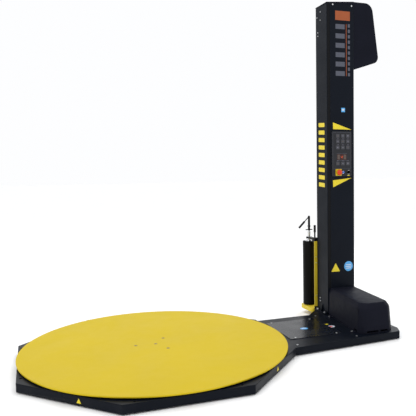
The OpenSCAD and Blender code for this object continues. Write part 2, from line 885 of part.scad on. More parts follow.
module idler_pulley() {
    color("#8a8d92") pulley(mast_cx - pulley_w / 2 - 9, mast_cx + pulley_w / 2 + 9, idler_z);
}

// ---- Film carriage ----

module carriage_plate() {
    color("#e0c235") difference() {
        translate([back_x, back_out, back_z]) rotate([90, 0, 0])
            round_plate(back_w, back_h, back_t, 8);
        for (z = [truck_z + 60, truck_z + truck_h - 60], x = [-1, 1])
            bar_y(back_y - 3, back_out + 3, mast_cx + x * 14, z, 5);
    }
}

module tray_bracket() {
    low = tray_top - tray_h + 4;
    color("#1c1d20") {
        translate([back_x + 2, back_y, low]) cube([back_w - 4, back_t, back_z - low]);
        translate([back_x + 2, back_out, low]) cube([back_w - 4, 4, back_z - low + 30]);
    }
}

module film_tray() {
    color("#e0c235") difference() {
        translate([tray_x, tray_y, tray_top - tray_h]) round_plate(tray_w, tray_d, tray_h, 24);
        translate([tray_x + back_t, tray_y + back_t, tray_top - tray_h - eps])
            round_plate(tray_w - 2 * back_t, tray_d - 2 * back_t, tray_h - back_t + eps, 20);
    }
}

module trolley() {
    inner_y = mast_back - mast_t - 4 - 8;
    bearing_y = wheel_y - 12;
    color("#5c6067") difference() {
        union() {
            translate([mast_cx - truck_w / 2, inner_y, truck_z]) cube([truck_w, 8, truck_h]);
            translate([mast_cx - 20, inner_y, truck_z + 20])
                cube([40, back_y - inner_y, truck_h - 40]);
            for (s = [-1, 1], z = [axle_low, axle_high])
                translate([mast_cx + s * (truck_w / 2 - 6) - 6, bearing_y, z - 16])
                    cube([12, inner_y - bearing_y + 1, 32]);
            translate([mast_cx - 18, belt_y + pulley_r - 5, clamp_z - 25])
                cube([36, inner_y - belt_y - pulley_r + 6, 50]);
        }
        for (z = [axle_low, axle_high])
            bar_x(mast_cx - 80, mast_cx + 80, wheel_y, z, axle_r + fit);
        translate([mast_cx - belt_w / 2 - gap, belt_y + pulley_r, clamp_z - 30])
            cube([belt_w + 2 * gap, belt_t + 2 * gap, 60]);
    }
}

module roller_arm() {
    rx = roller_x;
    ry = roller_y;
    journal_r = shaft_r - 2;
    dir = atan2(ry - knob_y, rx - knob_x);
    reach = norm([rx - knob_x, ry - knob_y]) - 2 * journal_r;
    color("#1c1d20") difference() {
        union() {
            translate([back_x + 4, back_out, arm_z - 32]) cube([36, 6, 42]);
            translate([back_x + 4, back_out, arm_z - 14]) cube([36, 38, 30]);
            translate([knob_x, knob_y, arm_z]) rotate(dir) translate([0, -15, 0])
                cube([reach, 30, arm_t]);
            translate([rx, ry, arm_z]) cylinder(h = arm_t, r = 22);
            translate([rx, ry, cross_z - 6]) cylinder(h = 86, r = 8);
            bar_x(rx - 26, rx + 26, ry, cross_z, 3.5);
            translate([rx, ry, cross_z + 24]) cylinder(h = 4, r = 13);
        }
        translate([rx, ry, arm_z - eps]) cylinder(h = arm_t + 2 * eps, r = journal_r);
        translate([knob_x, knob_y, arm_z - 2]) cylinder(h = 20, r = 4 + fit);
        translate([rx, ry, cross_z + 60]) cylinder(h = 30, r = 4 + fit);
    }
}

module roller_shafts() {
    color("silver") {
        translate([roller_x, roller_y, tray_top]) cylinder(h = arm_z - tray_top, r = shaft_r);
        translate([roller_x, roller_y, arm_z]) cylinder(h = cross_z - 6 - arm_z, r = shaft_r - 2);
        translate([roller_x, roller_y, arm_z + arm_t]) cylinder(h = 34, r = shaft_r + 1);
        translate([mandrel_x, mandrel_y, tray_top]) {
            cylinder(h = mandrel_l + 14, r = shaft_r);
            translate([0, 0, mandrel_l + 14]) cylinder(h = 6, r = shaft_r + 5);
        }
    }
}

module carriage_screws() {
    color("silver") {
        for (z = [back_z + 78, back_z + 312, back_z + 354])
            translate([back_x + 12, back_y, z]) rotate([90, 0, 0]) socket_head(3.5, 2);
        translate([back_x + 15, back_y, tray_top + 2]) rotate([90, 0, 0]) socket_head(6, 3);
        for (z = [truck_z + 60, truck_z + truck_h - 60], x = [-1, 1])
            translate([mast_cx + x * 14, back_out, z]) rotate([-90, 0, 0]) hex_head(7, 5);
    }
}

module brake_roller() {
    rim = 3;
    color("#121214") translate([roller_x, roller_y, tray_top + 3]) difference() {
        union() {
            cylinder(h = brake_l, r = brake_r - rim);
            for (z = [0, brake_l - 12])
                translate([0, 0, z]) cylinder(h = 12, r = brake_r - 1);
            translate([0, 0, 14]) cylinder(h = brake_l - 28, r = brake_r);
        }
        translate([0, 0, -eps]) cylinder(h = brake_l + 2 * eps, r = shaft_r + fit);
    }
}

module film_mandrel() {
    color("#1c1d20") translate([mandrel_x, mandrel_y, tray_top + 3]) difference() {
        union() {
            cylinder(h = 5, r = 62);
            cylinder(h = mandrel_l - 30, r = mandrel_r);
            translate([0, 0, mandrel_l - 30]) cylinder(h = 30, r1 = mandrel_r, r2 = mandrel_r - 12);
        }
        translate([0, 0, -eps]) cylinder(h = mandrel_l + 2 * eps, r = shaft_r + fit);
    }
}

module guide_wheels(z) {
    inset_x = mast_t + rail_t + 1.5;
    color("#c9cacc") {
        bar_x(mast_x + inset_x, mast_x + mast_w - inset_x, wheel_y, z, axle_r);
        bar_x(mast_x + inset_x, mast_x + inset_x + wheel_w, wheel_y, z, wheel_r);
        bar_x(mast_x + mast_w - inset_x - wheel_w, mast_x + mast_w - inset_x, wheel_y, z, wheel_r);
    }
}

module brake_lever() {
    grip = lever_l * 0.57;
    color("#17181a") translate([roller_x, roller_y, lever_z]) {
        translate([0, 0, -32]) cylinder(h = 26, r = 4);
        translate([0, 0, -15.7]) cylinder(h = 20, r = 7);
        rotate([0, -135, 0]) cylinder(h = lever_l, r = 3);
        rotate([0, -135, 0]) translate([0, 0, lever_l - grip]) cylinder(h = grip, r = 6);
    }
}

module clamp_knob() {
    color("#17181a") translate([knob_x, knob_y, 0]) {
        translate([0, 0, arm_z]) cylinder(h = 70, r = 4);
        translate([0, 0, arm_z + 54]) cylinder(h = 52, r = 8);
    }
}

// ---- Nodes ----

floor_pads();
base_frame();
deck_plate();
neck_cover();
deck_screws();
centre_post();
thrust_ring();
roller_brackets();
roller_axles();
drive_gearmotor();
drive_chain();
motor_shroud();
cable_gland();
mast_foot();
mast_foot_bolts();
mast_column();
mast_front_cover();
cover_screws();
guide_rails();
lift_gearmotor();
lift_bearing_block();
lift_hood();
lift_belt();
idler_bracket();
control_panel();
keypad();
display_window();
estop_plate();
button_bezels();
control_unit();
turntable_plate();
table_hub();
hub_bush();
ring_sprocket();
hub_screws();
support_roller(0);  // support_roller_1
support_roller(1);  // support_roller_2
support_roller(2);  // support_roller_3
support_roller(3);  // support_roller_4
support_roller(4);  // support_roller_5
support_roller(5);  // support_roller_6
drive_sprocket();
lift_pulley();
idler_pulley();
carriage_plate();
tray_bracket();
film_tray();
trolley();
roller_arm();
roller_shafts();
carriage_screws();
brake_roller();
film_mandrel();
guide_wheels(axle_high);  // upper_guide_wheels
guide_wheels(axle_low);  // lower_guide_wheels
brake_lever();
clamp_knob();
estop_button();
start_button();
main_switch();
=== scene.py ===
"""The looks of a turntable pallet wrapper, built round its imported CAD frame.

Metres, +Z up, in the CAD frame: the turntable turns about Z at the origin, the neck runs
along +X, and the film carriage climbs the mast's +Y side.
"""

import json
import math

import bmesh
import bpy
from mathutils import Matrix, Vector


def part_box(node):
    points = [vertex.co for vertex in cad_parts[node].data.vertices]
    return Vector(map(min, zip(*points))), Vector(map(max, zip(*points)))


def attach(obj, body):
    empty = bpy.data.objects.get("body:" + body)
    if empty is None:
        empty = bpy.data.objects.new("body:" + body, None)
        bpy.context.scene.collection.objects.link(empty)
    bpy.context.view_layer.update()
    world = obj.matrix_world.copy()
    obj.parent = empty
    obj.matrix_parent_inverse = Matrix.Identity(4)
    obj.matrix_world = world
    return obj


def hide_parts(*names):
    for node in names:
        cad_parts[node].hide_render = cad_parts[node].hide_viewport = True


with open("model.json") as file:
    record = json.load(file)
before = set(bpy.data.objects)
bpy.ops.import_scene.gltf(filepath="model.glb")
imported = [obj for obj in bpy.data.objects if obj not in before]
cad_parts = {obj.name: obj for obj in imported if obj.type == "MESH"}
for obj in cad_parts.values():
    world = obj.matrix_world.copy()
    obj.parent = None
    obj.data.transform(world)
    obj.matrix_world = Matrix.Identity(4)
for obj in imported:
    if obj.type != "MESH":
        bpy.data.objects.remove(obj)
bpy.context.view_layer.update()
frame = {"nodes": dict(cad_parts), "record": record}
NODES = frame["nodes"]
MM = 0.001

# ---- Camera ----

CAMERA_AT = (-0.6435, -3.0694, 1.0312)
CAMERA_YAW = math.radians(19.158)
CAMERA_PITCH = math.radians(3.518)
CAMERA_ROLL = math.radians(-0.977)
CAMERA_LENS = 47.98
CAMERA_SENSOR = 36.0
CAMERA_SHIFT = (-0.0371, -0.0029)
CAMERA_FAR = 200.0


def make_camera():
    """A standing person's view over the disc, at the mast."""
    data = bpy.data.cameras.new("camera")
    data.sensor_width = CAMERA_SENSOR
    data.lens = CAMERA_LENS
    data.shift_x, data.shift_y = CAMERA_SHIFT
    data.clip_end = CAMERA_FAR
    camera = bpy.data.objects.new("camera", data)
    bpy.context.scene.collection.objects.link(camera)
    turn = (Matrix.Rotation(-CAMERA_YAW, 4, "Z")
            @ Matrix.Rotation(math.pi / 2 - CAMERA_PITCH, 4, "X")
            @ Matrix.Rotation(CAMERA_ROLL, 4, "Z"))
    camera.matrix_world = Matrix.Translation(CAMERA_AT) @ turn
    bpy.context.scene.camera = camera


# ---- Mesh helpers ----

SHARP_ANGLE = math.radians(32)  # edges that turn more than this stay sharp in shading
ROUNDED_ANGLE = math.radians(30)  # edges that turn more than this get a rounding
ROUNDING_SEGMENTS = 2


def object_from(name, bm):
    """A new object in the scene, with bm as its mesh."""
    mesh = bpy.data.meshes.new(name)
    bm.to_mesh(mesh)
    bm.free()
    made = bpy.data.objects.new(name, mesh)
    bpy.context.scene.collection.objects.link(made)
    return made


def shade_soft(mesh):
    """Smooth shading that keeps the sharp edges."""
    mesh.shade_smooth()
    mesh.set_sharp_from_angle(angle=SHARP_ANGLE)


def new_piece(name, bm, body, material, smooth=True):
    """An object from bm that rides on a CAD body and takes its finish from a slot."""
    bmesh.ops.recalc_face_normals(bm, faces=bm.faces)
    piece = object_from(name, bm)
    piece.data.materials.append(material)
    if smooth:
        shade_soft(piece.data)
    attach(piece, body)
    return piece


def round_edges(piece, width):
    """A real rounding of the sharp edges, with normals that keep the flats flat."""
    bevel = piece.modifiers.new("edges", "BEVEL")
    bevel.width = width
    bevel.segments = ROUNDING_SEGMENTS
    bevel.limit_method = "ANGLE"
    bevel.angle_limit = ROUNDED_ANGLE
    bevel.harden_normals = True


def outline_disc(radius, count):
    """A circle round the origin as a polygon of count corners."""
    turns = [2 * math.pi * i / count for i in range(count)]
    return [(radius * math.cos(turn), radius * math.sin(turn)) for turn in turns]


def outline_round_box(w, h, r, steps=6):
    """A rectangle round the origin with corners of radius r, anticlockwise."""
    points = []
    for k, (sx, sy) in enumerate([(1, 1), (-1, 1), (-1, -1), (1, -1)]):
        for i in range(steps + 1):
            a = math.radians(90 * k + 90 * i / steps)
            points.append((sx * (w / 2 - r) + r * math.cos(a),
                           sy * (h / 2 - r) + r * math.sin(a)))
    return points


def round_corners(points, r, steps=5):
    """A polygon with its corners turned into arcs of about radius r."""
    longest = 0.45  # of the shorter side, so that two arcs on one side don't meet
    out = []
    n = len(points)
    for i in range(n):
        p = Vector(points[i])
        before = Vector(points[i - 1]) - p
        after = Vector(points[(i + 1) % n]) - p
        reach = min(r, before.length * longest, after.length * longest)
        start = p + before.normalized() * reach
        end = p + after.normalized() * reach
        for k in range(steps + 1):
            t = k / steps
            out.append(tuple(start * (1 - t) ** 2 + p * 2 * t * (1 - t) + end * t * t))
    return out


def add_plate(bm, points, depth, place):
    """A flat plate from an outline in its own XY plane, depth thick along its own +Z."""
    low = [bm.verts.new(place @ Vector((x, y, 0))) for x, y in points]
    high = [bm.verts.new(place @ Vector((x, y, depth))) for x, y in points]
    bm.faces.new(list(reversed(low)))
    bm.faces.new(high)
    n = len(points)
    for i in range(n):
        bm.faces.new((low[i], low[(i + 1) % n], high[(i + 1) % n], high[i]))


def add_lathe(bm, profile, place, count):
    """A turned solid with count sides: profile is (radius, height) pairs from its low end up.

    A profile may end on the axis, where its ring is one point.
    """
    rings = []
    for r, z in profile:
        spots = outline_disc(r, count) if r > 0 else [(0, 0)]
        rings.append([bm.verts.new(place @ Vector((x, y, z))) for x, y in spots])
    for lower, upper in zip(rings, rings[1:]):
        for i in range(count):
            j = (i + 1) % count
            if len(upper) == 1:
                bm.faces.new((lower[i], lower[j], upper[0]))
            else:
                bm.faces.new((lower[i], lower[j], upper[j], upper[i]))
    for ring, flip in ((rings[0], True), (rings[-1], False)):
        if len(ring) > 1:
            bm.faces.new(list(reversed(ring)) if flip else ring)


def facing(x_axis, y_axis, at):
    """The placement whose own X and Y point along these, with its own Z out of the face."""
    x, y = Vector(x_axis).normalized(), Vector(y_axis).normalized()
    z = x.cross(y)
    m = Matrix((x, y, z)).transposed().to_4x4()
    m.translation = Vector(at)
    return m


def on_front(x, y, z):
    """A place on a face that looks along -Y, with its own X along +X and its own Y up."""
    return facing((1, 0, 0), (0, 0, 1), (x, y, z))


def on_side(x, y, z):
    """A place on a face that looks along -X, with its own X along -Y and its own Y up."""
    return facing((0, -1, 0), (0, 0, 1), (x, y, z))


def on_top(x, y, z):
    """A place on a face that looks up."""
    return Matrix.Translation((x, y, z))


# ---- Materials ----

MIX_A, MIX_B, MIX_RESULT = 6, 7, 2  # the colour sockets of a Mix node
WORN_WIDTH = 0.0022  # how far wear reaches in from an edge, in metres


class Maker:
    """Builds one node material: the shader, and the textures that feed it."""

    def __init__(self, name):
        self.mat = bpy.data.materials.new(name)
        self.mat.use_nodes = True
        self.tree = self.mat.node_tree
        self.shader = self.tree.nodes["Principled BSDF"]
        self.coords = self.tree.nodes.new("ShaderNodeTexCoord").outputs["Object"]

    def node(self, kind, **values):
        """A node with these values on its sockets, or on itself where it has no such socket."""
        made = self.tree.nodes.new(kind)
        for key, value in values.items():
            if key in made.inputs:
                made.inputs[key].default_value = value
            else:
                setattr(made, key, value)
        return made

    def link(self, a, b):
        self.tree.links.new(a, b)

    def stretched(self, scale):
        """Coordinates scaled on their own along X, Y and Z."""
        mapping = self.node("ShaderNodeMapping", Scale=scale)
        self.link(self.coords, mapping.inputs["Vector"])
        return mapping.outputs["Vector"]

    def noise(self, scale, detail, rough=0.55, vector=None):
        """A cloudy value from 0 to 1; scale is in cells for each metre."""
        made = self.node("ShaderNodeTexNoise", Scale=scale, Detail=detail, Roughness=rough)
        self.link(vector or self.coords, made.inputs["Vector"])
        return made.outputs["Fac"]

    def spread(self, value, low, high, from_low=0.3, from_high=0.7):
        """A value moved from one range to another, and held inside it."""
        made = self.node("ShaderNodeMapRange")
        made.inputs["From Min"].default_value = from_low
        made.inputs["From Max"].default_value = from_high
        made.inputs["To Min"].default_value = low
        made.inputs["To Max"].default_value = high
        self.link(value, made.inputs["Value"])
        return made.outputs["Result"]

    def mix(self, factor, a, b):
        """A colour from a at 0 to b at 1; each is a colour or the socket of one."""
        made = self.node("ShaderNodeMix", data_type="RGBA")
        self.link(factor, made.inputs["Factor"])
        for socket, value in ((made.inputs[MIX_A], a), (made.inputs[MIX_B], b)):
            if isinstance(value, tuple):
                socket.default_value = (*value, 1.0)
            else:
                self.link(value, socket)
        return made.outputs[MIX_RESULT]

    def edge_mask(self):
        """0 on flats and up to 1 at edges, from how far the rounded normal leans."""
        rounded = self.node("ShaderNodeBevel", Radius=WORN_WIDTH, samples=4)
        plain = self.node("ShaderNodeNewGeometry")
        dot = self.node("ShaderNodeVectorMath", operation="DOT_PRODUCT")
        self.link(rounded.outputs["Normal"], dot.inputs[0])
        self.link(plain.outputs["Normal"], dot.inputs[1])
        return self.spread(dot.outputs["Value"], 1.0, 0.0, 0.80, 0.98)

    def bump(self, height, strength, distance):
        """Turns a height into the shader's normal; distance is the relief in metres."""
        made = self.node("ShaderNodeBump", Strength=strength, Distance=distance)
        self.link(height, made.inputs["Height"])
        self.link(made.outputs["Normal"], self.shader.inputs["Normal"])

    def clouded(self, fac, colour, dark, light):
        """A colour that drifts between two shades of itself with a noise."""
        return self.mix(self.spread(fac, 0.0, 1.0), shade(colour, dark), shade(colour, light))

    def base_colour(self, colour):
        self.link(colour, self.shader.inputs["Base Color"])

    def roughness(self, value, low, high):
        """Roughness that follows a noise from low to high."""
        self.link(self.spread(value, low, high), self.shader.inputs["Roughness"])

    def specular(self, level):
        self.shader.inputs["Specular IOR Level"].default_value = level


def shade(colour, k):
    """A colour made k times as light."""
    return tuple(min(1.0, c * k) for c in colour)


def painted(name, colour, rough=0.42, mottle=0.10, peel=0.10, wear=None, dust=0.10,
            specular=0.5):
    """Powder-coated steel: orange peel, cloudy sheen, dust in the broad patches, worn edges."""
    dust_grey = 0.32
    m = Maker(name)
    coat = m.clouded(m.noise(3.1, 5.0), colour, 1 - mottle, 1 + mottle)
    patches = m.noise(11.0, 8.0, 0.7)
    dusty = tuple(c + (dust_grey - c) * dust for c in colour)
    coat = m.mix(m.spread(patches, 0.0, 0.5, 0.52, 0.78), coat, dusty)
    if wear:
        flecks = m.noise(160.0, 3.0, 0.6)
        edge = m.node("ShaderNodeMath", operation="MULTIPLY")
        m.link(m.edge_mask(), edge.inputs[0])
        m.link(m.spread(flecks, 0.15, 1.0, 0.42, 0.62), edge.inputs[1])
        coat = m.mix(edge.outputs[0], coat, wear)
    m.base_colour(coat)
    m.roughness(m.noise(7.0, 6.0, 0.65), rough - 0.07, rough + 0.09)
    m.bump(m.noise(420.0, 2.0), peel, 0.0004)
    m.specular(specular)
    return m.mat


def metal(name, colour, rough=0.32, grain=(60.0, 60.0, 900.0), mottle=0.12, scratch=0.15):
    """Bare or plated steel: a drawn grain, cloudy plating and fine scratches."""
    m = Maker(name)
    m.shader.inputs["Metallic"].default_value = 1.0
    m.base_colour(m.clouded(m.noise(24.0, 6.0, 0.65), colour, 1 - mottle, 1 + mottle))
    streaks = m.noise(1.0, 4.0, 0.6, m.stretched(grain))
    m.roughness(streaks, rough - 0.09, rough + 0.12)
    m.bump(streaks, scratch, 0.0003)
    return m.mat


def moulded(name, colour, rough=0.5, pores=0.25, pore_scale=700.0, mottle=0.08, specular=0.5):
    """Moulded plastic or rubber: fine leathered grain, with soft clouds in its gloss."""
    m = Maker(name)
    m.base_colour(m.clouded(m.noise(9.0, 5.0), colour, 1 - mottle, 1 + mottle))
    m.roughness(m.noise(18.0, 6.0, 0.7), rough - 0.08, rough + 0.08)
    cells = m.node("ShaderNodeTexVoronoi", Scale=pore_scale)
    m.link(m.coords, cells.inputs["Vector"])
    m.bump(cells.outputs["Distance"], pores, 0.0002)
    m.specular(specular)
    return m.mat


def printed(name, colour, rough=0.38, mottle=0.04, specular=0.35):
    """Printed film: even ink under a satin skin, with a faint print grain."""
    m = Maker(name)
    m.base_colour(m.clouded(m.noise(30.0, 3.0), colour, 1 - mottle, 1 + mottle))
    grain = m.noise(1800.0, 2.0)
    m.roughness(grain, rough - 0.05, rough + 0.05)
    m.bump(grain, 0.06, 0.0001)
    m.specular(specular)
    return m.mat


def glowing(name, colour, strength):
    """A lit display element behind smoked film."""
    m = Maker(name)
    m.base_colour(m.clouded(m.noise(900.0, 2.0), colour, 0.85, 1))
    m.shader.inputs["Emission Color"].default_value = (*colour, 1.0)
    m.shader.inputs["Emission Strength"].default_value = strength
    m.shader.inputs["Roughness"].default_value = 0.4
    return m.mat


def disc_paint(name, colour):
    """The turntable's yellow paint: fine speckle, faint turning scuffs and a dusty sheen."""
    m = Maker(name)
    base = m.clouded(m.noise(2.2, 6.0, 0.6), colour, 0.965, 1.03)
    speckle = m.noise(340.0, 2.0, 0.5)
    base = m.mix(m.spread(speckle, 0.0, 0.10, 0.56, 0.74), base, shade(colour, 0.62))
    # Scuffs that run round the axis: noise along the radius alone, broken up by patches
    radius = m.node("ShaderNodeVectorMath", operation="LENGTH")
    m.link(m.coords, radius.inputs[0])
    ring = m.node("ShaderNodeCombineXYZ")
    m.link(radius.outputs["Value"], ring.inputs["X"])
    turns = m.noise(46.0, 5.0, 0.7, ring.outputs["Vector"])
    broken = m.noise(9.0, 4.0, 0.6)
    scuff = m.node("ShaderNodeMath", operation="MULTIPLY")
    m.link(m.spread(turns, 0.0, 1.0, 0.58, 0.76), scuff.inputs[0])
    m.link(m.spread(broken, 0.0, 0.16, 0.45, 0.7), scuff.inputs[1])
    base = m.mix(scuff.outputs[0], base, shade(colour, 0.55))
    m.base_colour(base)
    m.roughness(m.noise(5.0, 6.0, 0.7), 0.46, 0.60)
    m.bump(m.noise(520.0, 2.0), 0.12, 0.0004)
    m.specular(0.12)
    return m.mat


def wound_rubber(name, colour, pitch):
    """Ground rubber on a roller: fine turned lines, pitch metres apart, and a dry, dusty sheen."""
    m = Maker(name)
    m.base_colour(m.clouded(m.noise(14.0, 6.0, 0.7), colour, 0.8, 1.35))
    lines = m.noise(1.0, 3.0, 0.6, m.stretched((8.0, 8.0, 1.0 / pitch)))
    m.roughness(lines, 0.36, 0.58)
    m.bump(lines, 0.25, 0.0003)
    m.specular(0.10)
    return m.mat


YELLOW = (0.535, 0.396, 0.0085)
BLACK_PAINT = (0.0026, 0.0042, 0.0082)
EDGE_GREY = (0.045, 0.047, 0.052)
STEEL = (0.62, 0.63, 0.64)
EVEN_GRAIN = (300.0, 300.0, 300.0)  # noise scales along X, Y and Z
COARSE_GRAIN = (200.0, 200.0, 200.0)


def make_materials():
    """One material for each of the record's slots."""
    return {
        "rubber": moulded("rubber_pad", (0.012, 0.012, 0.013), 0.75, pores=0.5,
                          pore_scale=320.0, specular=0.2),
        "base_paint": painted("base_paint", BLACK_PAINT, 0.34, wear=EDGE_GREY, dust=0.03,
                              specular=0.09),
        "cover_paint": painted("cover_paint", shade(BLACK_PAINT, 1.1), 0.26, wear=EDGE_GREY,
                               dust=0.04, specular=0.27),
        "mast_paint": painted("mast_paint", shade(BLACK_PAINT, 1.2), 0.42, wear=EDGE_GREY,
                              dust=0.010, specular=0.09),
        "zinc_steel": metal("zinc_steel", (0.70, 0.71, 0.72), 0.30, grain=EVEN_GRAIN),
        "machined_steel": metal("machined_steel", STEEL, 0.28),
        "bronze": metal("bronze", (0.55, 0.36, 0.16), 0.35),
        "motor_paint": painted("motor_paint", (0.06, 0.068, 0.08), 0.45, wear=(0.4, 0.4, 0.42)),
        "chain_steel": metal("chain_steel", (0.30, 0.30, 0.31), 0.42, grain=COARSE_GRAIN),
        "moulded_black": moulded("moulded_black", (0.0082, 0.0090, 0.0150), 0.50, pores=0.10,
                                 pore_scale=620.0, specular=0.03),
        "black_plastic": moulded("black_plastic", (0.0040, 0.0040, 0.0048), 0.42, pores=0.2,
                                 pore_scale=900.0, specular=0.12),
        "cast_block": painted("cast_block", (0.10, 0.105, 0.115), 0.55, peel=0.3),
        "belt_rubber": moulded("belt_rubber", (0.010, 0.010, 0.012), 0.62, pores=0.35,
                               pore_scale=500.0, specular=0.2),
        "panel_grey": painted("panel_grey", (0.017, 0.018, 0.022), 0.40, mottle=0.06, peel=0.08,
                              wear=(0.10, 0.10, 0.11), dust=0.02, specular=0.22),
        "key_film": printed("key_film", (0.045, 0.046, 0.056), 0.40),
        "display": printed("display", (0.030, 0.006, 0.006), 0.16),
        "yellow_label": printed("yellow_label", YELLOW, 0.42),
        "bezel_chrome": metal("bezel_chrome", (0.78, 0.79, 0.80), 0.16, grain=COARSE_GRAIN,
                              mottle=0.05),
        "yellow_paint": painted("yellow_paint", (0.66, 0.505, 0.028), 0.44, mottle=0.04,
                                wear=(0.40, 0.36, 0.20), dust=0.03, specular=0.3),
        "black_screws": metal("black_screws", (0.36, 0.30, 0.15), 0.45, grain=EVEN_GRAIN),
        "arm_black": painted("arm_black", (0.0030, 0.0031, 0.0038), 0.38, wear=EDGE_GREY,
                             dust=0.01, specular=0.12),
        "roller_rubber": wound_rubber("roller_rubber", (0.0018, 0.0018, 0.0021), pitch=0.0016),
        "roller_nylon": moulded("roller_nylon", (0.020, 0.020, 0.022), 0.5),
        "wheel_nylon": moulded("wheel_nylon", (0.58, 0.57, 0.54), 0.45),
        "stop_red": moulded("stop_red", (0.56, 0.042, 0.010), 0.26, pores=0.06,
                            pore_scale=900.0, specular=0.3),
        "start_blue": moulded("start_blue", (0.045, 0.14, 0.52), 0.28, pores=0.06,
                              pore_scale=900.0),
    }


SLOT_OF = {s["node"]: s["material_slot"] for s in frame["record"]["subparts"]}
FINISH = make_materials()
FINISH["turntable"] = disc_paint("turntable_paint", YELLOW)
MARK_COLOURS = {
    "mark_yellow": (0.70, 0.56, 0.020),
    "mark_orange": (0.30, 0.068, 0.016),
    "mark_grey": (0.068, 0.074, 0.100),
    "mark_blue": (0.085, 0.36, 0.72),
    "mark_pale": (0.58, 0.64, 0.72),
    "mark_red": (0.58, 0.06, 0.05),
    "mark_key": (0.20, 0.19, 0.245),
    "mark_brown": (0.085, 0.062, 0.052),
}
for label, ink in MARK_COLOURS.items():
    FINISH[label] = printed(label, ink)
# A dark matte finish that paints shade: it is for the strip of painted shade on the mast's corner.
FINISH["painted_shade_dark"] = printed("painted_shade_dark", (0.0050, 0.0052, 0.0065), 0.6, specular=0.1)
FINISH["lit_red"] = glowing("lit_red", (0.75, 0.10, 0.03), strength=0.35)


# ---- CAD nodes that stay ----

# Edge roundings of the CAD nodes that stay, in millimetres: pressed sheet is folded at its
# corners, machined and cast pieces are broken at their edges
EDGE_ROUNDING = {
    "base_frame": 1.6, "deck_plate": 1.2, "neck_cover": 1.0, "mast_foot": 1.5,
    "mast_column": 3.0, "mast_front_cover": 0.8, "control_panel": 1.2, "lift_hood": 3.0,
    "turntable_plate": 1.6, "carriage_plate": 1.2, "film_tray": 1.6, "tray_bracket": 1.0,
    "roller_arm": 0.9, "trolley": 1.0, "estop_plate": 0.5, "keypad": 0.6,
}
WELD_DISTANCE = 1e-6  # metres: joins the corners that neighbouring CAD faces hold twice


def dress_cad_nodes():
    """Every CAD node gets its slot's material, and the sheet parts get rounded edges."""
    for name, node in NODES.items():
        key = "turntable" if name == "turntable_plate" else SLOT_OF[name]
        node.data.materials.clear()
        node.data.materials.append(FINISH[key])
        if name in EDGE_ROUNDING:
            weld = node.modifiers.new("weld", "WELD")
            weld.merge_threshold = WELD_DISTANCE
            round_edges(node, EDGE_ROUNDING[name] * MM)


# ---- Moulded and turned pieces ----

def box_of(name):
    """A node's lowest and highest corners at rest, in metres."""
    lo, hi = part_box(name)
    return Vector(lo), Vector(hi)


def axis_of(name):
    """A turned node's upright axis, as x and y, with its lowest and highest z, in metres."""
    lo, hi = box_of(name)
    return (lo.x + hi.x) / 2, (lo.y + hi.y) / 2, lo.z, hi.z


def cut(piece, cutter_bm):
    """Takes the cutter's volume out of a piece, for good."""
    bmesh.ops.recalc_face_normals(cutter_bm, faces=cutter_bm.faces)
    cutter = object_from("cutter", cutter_bm)
    cutter.matrix_world = piece.matrix_world.copy()
    boolean = piece.modifiers.new("cut", "BOOLEAN")
    boolean.operation = "DIFFERENCE"
    boolean.solver = "EXACT"
    boolean.object = cutter
    bpy.context.view_layer.update()
    evaluated = piece.evaluated_get(bpy.context.evaluated_depsgraph_get())
    done = bpy.data.meshes.new_from_object(evaluated)
    piece.modifiers.remove(boolean)
    piece.data = done
    bpy.data.objects.remove(cutter)
    shade_soft(done)


SMALL_ROUNDING = 0.8 * MM


def add_box(bm, lo, hi):
    """A box between two corners, in millimetres."""
    w, d, h = (hi[k] - lo[k] for k in range(3))
    place = on_top((lo[0] + w / 2) * MM, (lo[1] + d / 2) * MM, lo[2] * MM)
    add_plate(bm, [(x * MM, y * MM) for x, y in
                   ((w / 2, d / 2), (-w / 2, d / 2), (-w / 2, -d / 2), (w / 2, -d / 2))],
              h * MM, place)


SHROUD_LAYERS = [  # height, then the outline at that height, anticlockwise from the free end
    (50.0, [(1226, -256), (1394, -256), (1428, -222), (1462, 234), (1256, 234), (1192, -222)]),
    (198.0, [(1240, -246), (1386, -246), (1422, -214), (1460, 234), (1258, 234), (1196, -216)]),
    (229.0, [(1262, -228), (1366, -228), (1404, -198), (1456, 234), (1270, 234), (1214, -196)]),
]


SHROUD_ROUNDING = 0.0065  # metres
SHROUD_BACK = 0.233  # metres: edges past this are those of the back, which stay sharp
FOOT_SLOTS = [  # two corners of each slot, in millimetres
    ((1234, -276, 54), (1312, -224, 66)),
    ((1327, -276, 54), (1378, -224, 66)),
    ((1170, -205, 54), (1226, -165, 66)),
]
VENT_COUNT, VENT_PITCH, VENT_LENGTH = 5, 60, 36
VENT_START = (1424, -120)
VENT_Z = (85, 93)
VENT_DEEP_X = 1490
VENT_LEAN = 4.4  # how far each vent follows the slanting side
TAB_Y = (-186, 170)
TAB_SIZE = (42, 30, 6)  # width, length and corner radius
TAB_THICK = 4
TAB_REACH = 19  # from the shroud's side to the tab's middle


